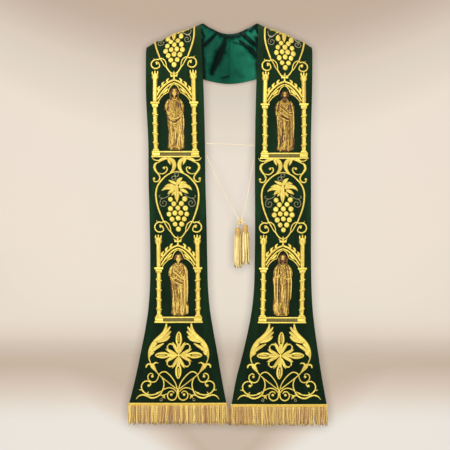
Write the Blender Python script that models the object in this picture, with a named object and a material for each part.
"""A clerical stole as it is worn, hollow, with no wearer inside it.

Each half is one long strip of velvet from the fringed hem, up the chest, over the shoulder and
round to the seam at the back of the neck, with its edges turned under around a satin lining.
A thin cord ties the two fronts together, and its two ends hang in a V to a pair of tassels.

+X is the left of the wearer, -Y is the front and +Z is up. The origin is where the neck carries
the stole, midway between the two shoulder crests. Tables and sizes are in millimetres.
"""

import math

import bmesh
import bpy
import numpy as np

MM = 0.001
SEAM_GAP = 0.3          # between pieces that are sewn together
VELVET = 1.8            # velvet with its interfacing and the embroidery's backing
LINING = 1.0
TURNED_EDGE = 3.0       # width of velvet that shows on the wrong side, beside the lining
STACK = VELVET + SEAM_GAP + LINING
STRAIGHT_WIDTH = 148.0  # of a strip between the shoulder and the flare
HEM_WIDTH = 252.0
SEAM_X = 3.0            # the seam at the back of the neck sits a little off the middle
FRONT_Y = -98.0         # where the straight fronts hang

# The sign of x outwards on each side of the wearer.
SIDES = {"left": 1, "right": -1}

# One row for each place along a strip, from the hem to the back of the neck. The inner edge is the
# one beside the neck. x is measured outwards from the middle, on the left and on the right, and
# the crown is how far the middle of the strip stands out from its two edges.
#   inner y, inner z, outer y, outer z, crown, left inner x, left outer x, right inner x, right outer x
EDGES = (
    (-98.0, -1006.6, -98.0, -1006.6, 2.0, 7.0, 256.6, 4.6, 259.6),
    (-98.0, -938.0, -98.0, -938.0, 2.5, 19.5, 244.1, 16.9, 243.4),
    (-98.0, -860.0, -98.0, -860.0, 2.5, 39.5, 232.2, 30.4, 227.0),
    (-98.0, -808.0, -98.0, -808.0, 2.5, 51.2, 224.9, 39.8, 216.8),
    (-98.0, -756.0, -98.0, -756.0, 2.5, 60.6, 219.2, 48.1, 209.0),
    (-98.0, -704.0, -98.0, -704.0, 2.5, 66.0, 216.3, 52.8, 204.9),
    (-98.0, -626.0, -98.0, -626.0, 2.5, 68.1, 215.0, 55.1, 203.8),
    (-98.0, -522.0, -98.0, -522.0, 2.5, 69.0, 215.0, 57.2, 205.4),
    (-98.0, -418.0, -98.0, -418.0, 2.5, 68.6, 214.8, 60.0, 208.0),
    (-98.0, -314.0, -98.0, -314.0, 2.5, 69.2, 214.8, 61.2, 209.0),
    (-97.0, -240.0, -96.0, -245.0, 2.5, 70.4, 216.2, 63.0, 212.6),
    (-92.0, -170.0, -88.0, -190.0, 2.4, 72.4, 218.2, 65.4, 215.6),
    (-80.0, -108.0, -72.0, -140.0, 2.2, 75.0, 220.2, 68.4, 217.0),
    (-59.0, -55.0, -48.0, -98.0, 1.8, 77.8, 222.0, 71.0, 218.4),
    (-33.0, -17.0, -22.0, -68.0, 1.0, 80.0, 223.6, 72.8, 219.4),
    (-4.0, -1.0, 6.0, -53.5, 0.6, 81.0, 223.4, 73.4, 219.0),
    (24.0, 3.6, 40.0, -65.0, 1.2, 73.0, 199.0, 65.0, 194.0),
    (47.0, -1.4, 70.0, -107.0, 2.0, 51.0, 146.0, 45.0, 141.0),
    (61.0, -10.0, 89.0, -134.0, 2.5, 27.0, 77.0, 21.0, 71.0),
    (65.0, -13.2, 96.0, -146.3, 2.5, 3.15, 3.15, -2.85, -2.85),
)
RIGHT_HEM_RISE = 3.6    # the wearer's right half hangs a little shorter

# Drag folds round the back of the neck, pulled from the shoulder crest: where each begins and ends
# (share of the way from crest to seam, share of the way from neck edge to outer edge), its half
# width, and how far it stands out (or in, if negative).
#   side, from along, from across, to along, to across, half width, height
NECK_FOLDS = (
    ("right", 0.30, 0.06, 0.84, 0.72, 15.0, -3.2),
    ("right", 0.20, 0.30, 0.62, 0.86, 16.0, 2.6),
    ("left", 0.34, 0.08, 0.80, 0.42, 13.0, -2.8),
    ("left", 0.22, 0.34, 0.56, 0.84, 17.0, 2.4),
)
CREST_ROW = 15          # the row of EDGES that lies along the top of the shoulder
FRONT_STATION = 62.0    # spacing of the sections on the straight fronts
SHOULDER_STATION = 13.5  # and over the shoulder and round the neck
SHOULDER_FROM_Z = -260.0
ACROSS = 8              # facets across a strip, between its two turned edges

# The fringe hangs from a braid that is stitched over the hem.
HEADER_HEIGHT = 8.0
HEADER_THICK = 2.0
HEADER_BELOW_HEM = 2.3
HEADER_PAST_EDGE = 1.8
FRINGE_LENGTH = 49.0
FRINGE_THICK = 3.6
FRINGE_FRONT = 2.1      # how far the fringe's front face lies ahead of the velvet

# The cord. x, y and z of the places that each stretch passes through.
CORD_DIAMETER = 2.2
CORD_Y = FRONT_Y + STACK + 0.5 + CORD_DIAMETER / 2
TAB_SIZE = (12.0, 2.6, 9.0)
TAB_CORNER = 1.6
TAB_Y = FRONT_Y + STACK + TAB_SIZE[1] / 2
TABS = {"left": (80.5, -331.0), "right": (-73.0, -326.0)}
CORD_ACROSS = ((-66.7, -323.4), (-60.0, -323.0), (-32.0, -323.6), (5.0, -325.0),
               (40.0, -326.4), (66.0, -327.6), (74.2, -328.2))
CORD_LEFT = ((77.0, -336.1), (76.0, -338.6), (72.6, -346.0), (68.6, -356.0), (65.3, -368.0),
             (62.2, -385.0), (58.5, -408.0), (53.8, -436.0), (48.4, -466.0), (42.6, -493.0),
             (35.6, -517.0))
CORD_RIGHT = ((-70.6, -331.3), (-69.4, -333.6), (-64.6, -341.0), (-58.8, -351.0),
              (-52.0, -366.0), (-42.0, -389.0), (-26.0, -423.0), (-8.0, -459.0),
              (8.0, -489.0), (18.0, -507.0), (27.4, -519.2))
KNOT = (32.1, -522.0)
KNOT_RADIUS = (4.6, 4.2, 5.0)
POINT_EVERY = 2.6       # diameters between the points of a cord

# The tassels, with the parts of each measured down from the top of its head.
TASSEL_HEAD_HEIGHT = 20.0
HEAD_PROFILE = ((0.0, 0.0), (3.2, 0.6), (5.6, 3.0), (7.2, 7.0), (7.6, 11.0), (6.6, 14.6),
                (6.0, 16.2), (6.9, 17.6), (7.0, 20.0), (0.0, 20.0))
#   side: x and z of the top of the head, skirt length, skirt radius at top and bottom
TASSELS = {
    "left": (44.8, -534.0, 82.6, 7.2, 10.6),
    "right": (24.5, -541.4, 84.4, 6.9, 8.9),
}
TASSEL_SIDES = 16
TAILS = {
    "left": ((36.5, -525.8), (39.8, -527.9), (43.0, -529.9), (44.6, -531.8), (44.8, -533.6)),
    "right": ((30.0, -527.4), (27.4, -532.2), (25.2, -536.8), (24.5, -541.0)),
}

COLOURS = {
    "velvet": ((0.012, 0.036, 0.015), 0.85, 0.0),
    "lining": ((0.011, 0.12, 0.076), 0.35, 0.0),
    "gold": ((0.60, 0.42, 0.09), 0.45, 0.6),
    "fringe": ((0.55, 0.36, 0.12), 0.55, 0.2),
}


def clear_scene():
    """Removes what the file starts with."""
    for thing in list(bpy.data.objects):
        bpy.data.objects.remove(thing, do_unlink=True)


def material(kind):
    """The named material of a kind of part, made once."""
    made = bpy.data.materials.get(kind)
    if made is None:
        colour, roughness, metallic = COLOURS[kind]
        made = bpy.data.materials.new(kind)
        made.use_nodes = True
        shader = made.node_tree.nodes["Principled BSDF"]
        shader.inputs["Base Color"].default_value = (*colour, 1.0)
        shader.inputs["Roughness"].default_value = roughness
        shader.inputs["Metallic"].default_value = metallic
    return made


def place(name, mesh, kind, smooth_angle=None):
    """Puts a mesh in the scene under its part's name, with its material."""
    mesh.materials.append(material(kind))
    if smooth_angle is not None:
        mesh.shade_smooth()
        mesh.set_sharp_from_angle(angle=math.radians(smooth_angle))
    thing = bpy.data.objects.new(name, mesh)
    bpy.context.scene.collection.objects.link(thing)
    return thing


def hermite(rows, knots, at):
    """Values at the distances `at` on a smooth curve through rows that lie at knots."""
    slopes = np.gradient(rows, knots, axis=0)
    left = np.clip(np.searchsorted(knots, at, side="right") - 1, 0, len(knots) - 2)
    span = (knots[left + 1] - knots[left])[:, None]
    f = (at - knots[left])[:, None] / span
    return ((2 * f**3 - 3 * f**2 + 1) * rows[left] + (f**3 - 2 * f**2 + f) * span * slopes[left]
            + (3 * f**2 - 2 * f**3) * rows[left + 1] + (f**3 - f**2) * span * slopes[left + 1])


def unit(vectors):
    """The same vectors, each with length one."""
    return vectors / np.linalg.norm(vectors, axis=-1, keepdims=True)


class Strip:
    """One half of the stole as a surface: the outer face of its velvet."""

    def __init__(self, side):
        self.side = side
        self.outwards = SIDES[side]
        column = 5 if side == "left" else 7
        rows = []
        for number, row in enumerate(EDGES):
            rise = RIGHT_HEM_RISE if side == "right" and number == 0 else 0.0
            rows.append((self.outwards * row[column], row[0], row[1] + rise,
                         self.outwards * row[column + 1], row[2], row[3] + rise, row[4]))
        table = np.array(rows)
        # Past the seam the other half carries on, so that the strip meets it with no corner.
        beyond = table[-2].copy()
        beyond[[0, 3]] = 2 * SEAM_X - beyond[[0, 3]]
        table = np.vstack((table, beyond))
        middle = (table[:, :3] + table[:, 3:6]) / 2
        steps = np.linalg.norm(np.diff(middle, axis=0), axis=1)
        self.knots = np.concatenate(([0.0], np.cumsum(steps)))
        self.table = table
        self.length = self.knots[-2]
        self.crest = self.knots[CREST_ROW]

    def edges(self, along):
        """The inner edge, the outer edge and the crown at distances along the strip from its hem."""
        both = hermite(self.table, self.knots, np.asarray(along, float))
        return both[:, :3], both[:, 3:6], both[:, 6]

    def fold_height(self, along, across):
        """How far the drag folds move the cloth out, for a grid of places."""
        round_neck = self.length - self.crest
        x, y = (along - self.crest)[:, None], (across * STRAIGHT_WIDTH)[None, :]
        total = np.zeros((len(along), len(across)))
        for side, along_0, across_0, along_1, across_1, half_width, height in NECK_FOLDS:
            if side == self.side:
                start = np.array((along_0 * round_neck, across_0 * STRAIGHT_WIDTH))
                run = np.array((along_1 * round_neck, across_1 * STRAIGHT_WIDTH)) - start
                share = ((x - start[0]) * run[0] + (y - start[1]) * run[1]) / (run @ run)
                off = ((x - start[0]) * run[1] - (y - start[1]) * run[0]) / np.linalg.norm(run)
                fade = np.sin(np.pi * np.clip(share, 0.0, 1.0)) ** 2
                total += height * fade * np.exp(-(off / half_width) ** 2)
        return total

    def surface(self, along, across, folds=True):
        """Points of the face and its outward normals, for a grid of places on the strip."""
        along, across = np.asarray(along, float), np.asarray(across, float)
        inner, outer, crown = self.edges(along)
        span = outer - inner
        points = inner[:, None, :] + across[None, :, None] * span[:, None, :]
        ahead, behind = self.edges(along + 1.0), self.edges(along - 1.0)
        share = across[None, :, None]
        forward = (ahead[0] - behind[0])[:, None, :] * (1 - share) \
            + (ahead[1] - behind[1])[:, None, :] * share
        sideways = np.broadcast_to(span[:, None, :], points.shape)
        normals = unit(np.cross(forward, sideways)) * -self.outwards
        height = crown[:, None] * (4 * across * (1 - across))[None, :]
        if folds:
            height = height + self.fold_height(along, across)
        return points + normals * height[..., None], normals

    def stations(self, first=0.0):
        """Distances along the strip of its sections, from `first` above the hem to the seam."""
        tried = np.linspace(0, self.length, 400)
        turn_at = tried[np.argmax(self.edges(tried)[0][:, 2] > SHOULDER_FROM_Z)]
        lower = np.linspace(first, turn_at, round(turn_at / FRONT_STATION) + 1)
        upper = np.linspace(turn_at, self.length,
                            round((self.length - turn_at) / SHOULDER_STATION) + 1)
        return np.concatenate((lower, upper[1:]))


def across_between(first, last):
    """Shares of the way across a strip at its facets' corners, from the first to the last."""
    inset = TURNED_EDGE / STRAIGHT_WIDTH
    return np.concatenate(([first], np.linspace(inset, 1 - inset, ACROSS + 1)[1:-1], [last]))


def skin(rings, caps):
    """A closed mesh through rings of points, with the same cap of quads on both of its ends."""
    bm = bmesh.new()
    layers = [[bm.verts.new(point * MM) for point in ring] for ring in rings]
    count = len(rings[0])
    for here, there in zip(layers, layers[1:]):
        for k in range(count):
            following = (k + 1) % count
            bm.faces.new((here[k], here[following], there[following], there[k]))
    for corners in caps:
        bm.faces.new([layers[0][k] for k in reversed(corners)])
        bm.faces.new([layers[-1][k] for k in corners])
    bmesh.ops.recalc_face_normals(bm, faces=bm.faces)
    bmesh.ops.triangulate(bm, faces=bm.faces)
    mesh = bpy.data.meshes.new("strip")
    bm.to_mesh(mesh)
    bm.free()
    return mesh


def build_velvet(strip):
    """The velvet, with both long edges turned under around the edge of the lining."""
    inset = TURNED_EDGE / STRAIGHT_WIDTH
    across = np.concatenate(([0.0], across_between(inset, 1 - inset), [1.0]))
    last = len(across) - 1
    points, normals = strip.surface(strip.stations(), across)
    face = points
    back = points - normals * VELVET
    under = points - normals * STACK
    rings = []
    for row in range(len(points)):
        ring = list(face[row])
        ring += [back[row][last], under[row][last], under[row][last - 1]]
        ring += [back[row][k] for k in range(last - 1, 0, -1)]
        ring += [under[row][1], under[row][0], back[row][0]]
        rings.append(ring)
    # Where each point of the wrong side stands in the ring.
    wrong = {last: last + 1, 0: len(rings[0]) - 1}
    for step, k in enumerate(range(last - 1, 0, -1)):
        wrong[k] = last + 4 + step
    caps = [(k, k + 1, wrong[k + 1], wrong[k]) for k in range(last)]
    caps.append((wrong[last], last + 2, last + 3, wrong[last - 1]))
    caps.append((wrong[1], wrong[1] + 1, wrong[1] + 2, wrong[0]))
    place(f"velvet_{strip.side}", skin(rings, caps), "velvet", 40)


def build_lining(strip):
    """The satin lining, which lies between the turned edges of the velvet."""
    inset = (TURNED_EDGE + SEAM_GAP) / STRAIGHT_WIDTH
    across = across_between(inset, 1 - inset)
    points, normals = strip.surface(strip.stations(first=TURNED_EDGE), across)
    outside = points - normals * (VELVET + SEAM_GAP)
    inside = points - normals * STACK
    last = len(across) - 1
    rings = [list(outside[row]) + [inside[row][k] for k in range(last, -1, -1)]
             for row in range(len(points))]
    caps = [(k, k + 1, 2 * last - k, 2 * last + 1 - k) for k in range(last)]
    place(f"lining_{strip.side}", skin(rings, caps), "lining", 40)


def hem_band(strip, low, high, near, far, past_edge):
    """A band along the hem, from `low` to `high` above it and `near` to `far` ahead of it."""
    past = past_edge / HEM_WIDTH
    across = across_between(-past, 1 + past)
    base, _ = strip.surface([0.0], across, folds=False)
    rings = []
    for x, y, z in base[0]:
        rings.append([np.array(corner) for corner in (
            (x, y - far, z + high), (x, y - near, z + high),
            (x, y - near, z + low), (x, y - far, z + low))])
    return skin(rings, [(0, 1, 2, 3)])


def build_fringe(strip):
    """The braid over the hem, and the fringe that hangs from it as one plain solid."""
    header_low = -HEADER_BELOW_HEM
    header = hem_band(strip, header_low, header_low + HEADER_HEIGHT, SEAM_GAP,
                      SEAM_GAP + HEADER_THICK, HEADER_PAST_EDGE)
    place(f"fringe_header_{strip.side}", header, "gold")
    fringe_top = header_low - SEAM_GAP
    fringe = hem_band(strip, fringe_top - FRINGE_LENGTH, fringe_top,
                      FRINGE_FRONT - FRINGE_THICK, FRINGE_FRONT, HEADER_PAST_EDGE)
    place(f"fringe_{strip.side}", fringe, "fringe")


def build_tab(side):
    """The small tab, sewn to the lining behind the inner edge, that holds the cord."""
    x, z = TABS[side]
    bm = bmesh.new()
    bmesh.ops.create_cube(bm, size=1.0)
    bmesh.ops.scale(bm, vec=[length * MM for length in TAB_SIZE], verts=bm.verts)
    bmesh.ops.translate(bm, vec=(x * MM, TAB_Y * MM, z * MM), verts=bm.verts)
    upright = [edge for edge in bm.edges
               if abs(edge.verts[0].co.y - edge.verts[1].co.y) > TAB_SIZE[1] * MM / 2]
    bmesh.ops.bevel(bm, geom=upright, offset=TAB_CORNER * MM, segments=2, affect="EDGES")
    mesh = bpy.data.meshes.new("tab")
    bm.to_mesh(mesh)
    bm.free()
    place(f"cord_tab_{side}", mesh, "lining")


def build_cord(name, route, diameter=CORD_DIAMETER):
    """A round cord along a smooth line through its route's places, each given as x and z."""
    rows = np.array([(x, CORD_Y, z) for x, z in route])
    knots = np.concatenate(([0.0], np.cumsum(np.linalg.norm(np.diff(rows, axis=0), axis=1))))
    count = max(4, round(knots[-1] / (POINT_EVERY * diameter)) + 1)
    points = hermite(rows, knots, np.linspace(0.0, knots[-1], count))
    curve = bpy.data.curves.new(name, "CURVE")
    curve.dimensions = "3D"
    curve.bevel_depth = diameter / 2 * MM
    curve.bevel_resolution = 2
    curve.use_fill_caps = True
    spline = curve.splines.new("POLY")
    spline.points.add(count - 1)
    for node, point in zip(spline.points, points):
        node.co = (*(point * MM), 1.0)
    curve.materials.append(material("gold"))
    thing = bpy.data.objects.new(name, curve)
    bpy.context.scene.collection.objects.link(thing)


def turned(name, profile, x, z, kind):
    """A solid of revolution from a profile of radius and depth below its top."""
    bm = bmesh.new()
    line = [bm.verts.new((radius * MM, 0.0, -depth * MM)) for radius, depth in profile]
    for upper, lower in zip(line, line[1:]):
        bm.edges.new((upper, lower))
    bmesh.ops.spin(bm, geom=bm.verts[:] + bm.edges[:], cent=(0, 0, 0), axis=(0, 0, 1),
                   angle=math.tau, steps=TASSEL_SIDES)
    bmesh.ops.remove_doubles(bm, verts=bm.verts, dist=0.0001)
    bmesh.ops.recalc_face_normals(bm, faces=bm.faces)
    bmesh.ops.translate(bm, vec=(x * MM, CORD_Y * MM, z * MM), verts=bm.verts)
    mesh = bpy.data.meshes.new(name)
    bm.to_mesh(mesh)
    bm.free()
    place(name, mesh, kind, 40)


def build_tassel(side):
    """A tassel: the wrapped head, and the skirt of threads as one plain solid."""
    x, z, skirt_length, top_radius, low_radius = TASSELS[side]
    turned(f"tassel_head_{side}", HEAD_PROFILE, x, z, "gold")
    waist = (top_radius + low_radius) / 2 + 0.3
    profile = ((0.0, 0.0), (top_radius - 0.8, 0.0), (top_radius, 2.0),
               (waist, skirt_length * 0.45), (low_radius, skirt_length * 0.9),
               (low_radius - 0.6, skirt_length), (0.0, skirt_length))
    turned(f"tassel_skirt_{side}", profile, x, z - TASSEL_HEAD_HEIGHT - SEAM_GAP, "fringe")


def build_knot():
    """The knot where the two ends of the cord are tied together above the tassels."""
    bm = bmesh.new()
    bmesh.ops.create_uvsphere(bm, u_segments=12, v_segments=8, radius=1.0)
    bmesh.ops.scale(bm, vec=[radius * MM for radius in KNOT_RADIUS], verts=bm.verts)
    bmesh.ops.translate(bm, vec=(KNOT[0] * MM, CORD_Y * MM, KNOT[1] * MM), verts=bm.verts)
    mesh = bpy.data.meshes.new("knot")
    bm.to_mesh(mesh)
    bm.free()
    place("cord_knot", mesh, "gold", 60)


def main():
    """Builds every part of the stole."""
    clear_scene()
    for side in SIDES:
        strip = Strip(side)
        build_velvet(strip)
        build_lining(strip)
        build_fringe(strip)
        build_tab(side)
        build_tassel(side)
        build_cord(f"cord_tail_{side}", TAILS[side])
    build_cord("cord_across", CORD_ACROSS)
    build_cord("cord_fall_left", CORD_LEFT)
    build_cord("cord_fall_right", CORD_RIGHT)
    build_knot()


main()
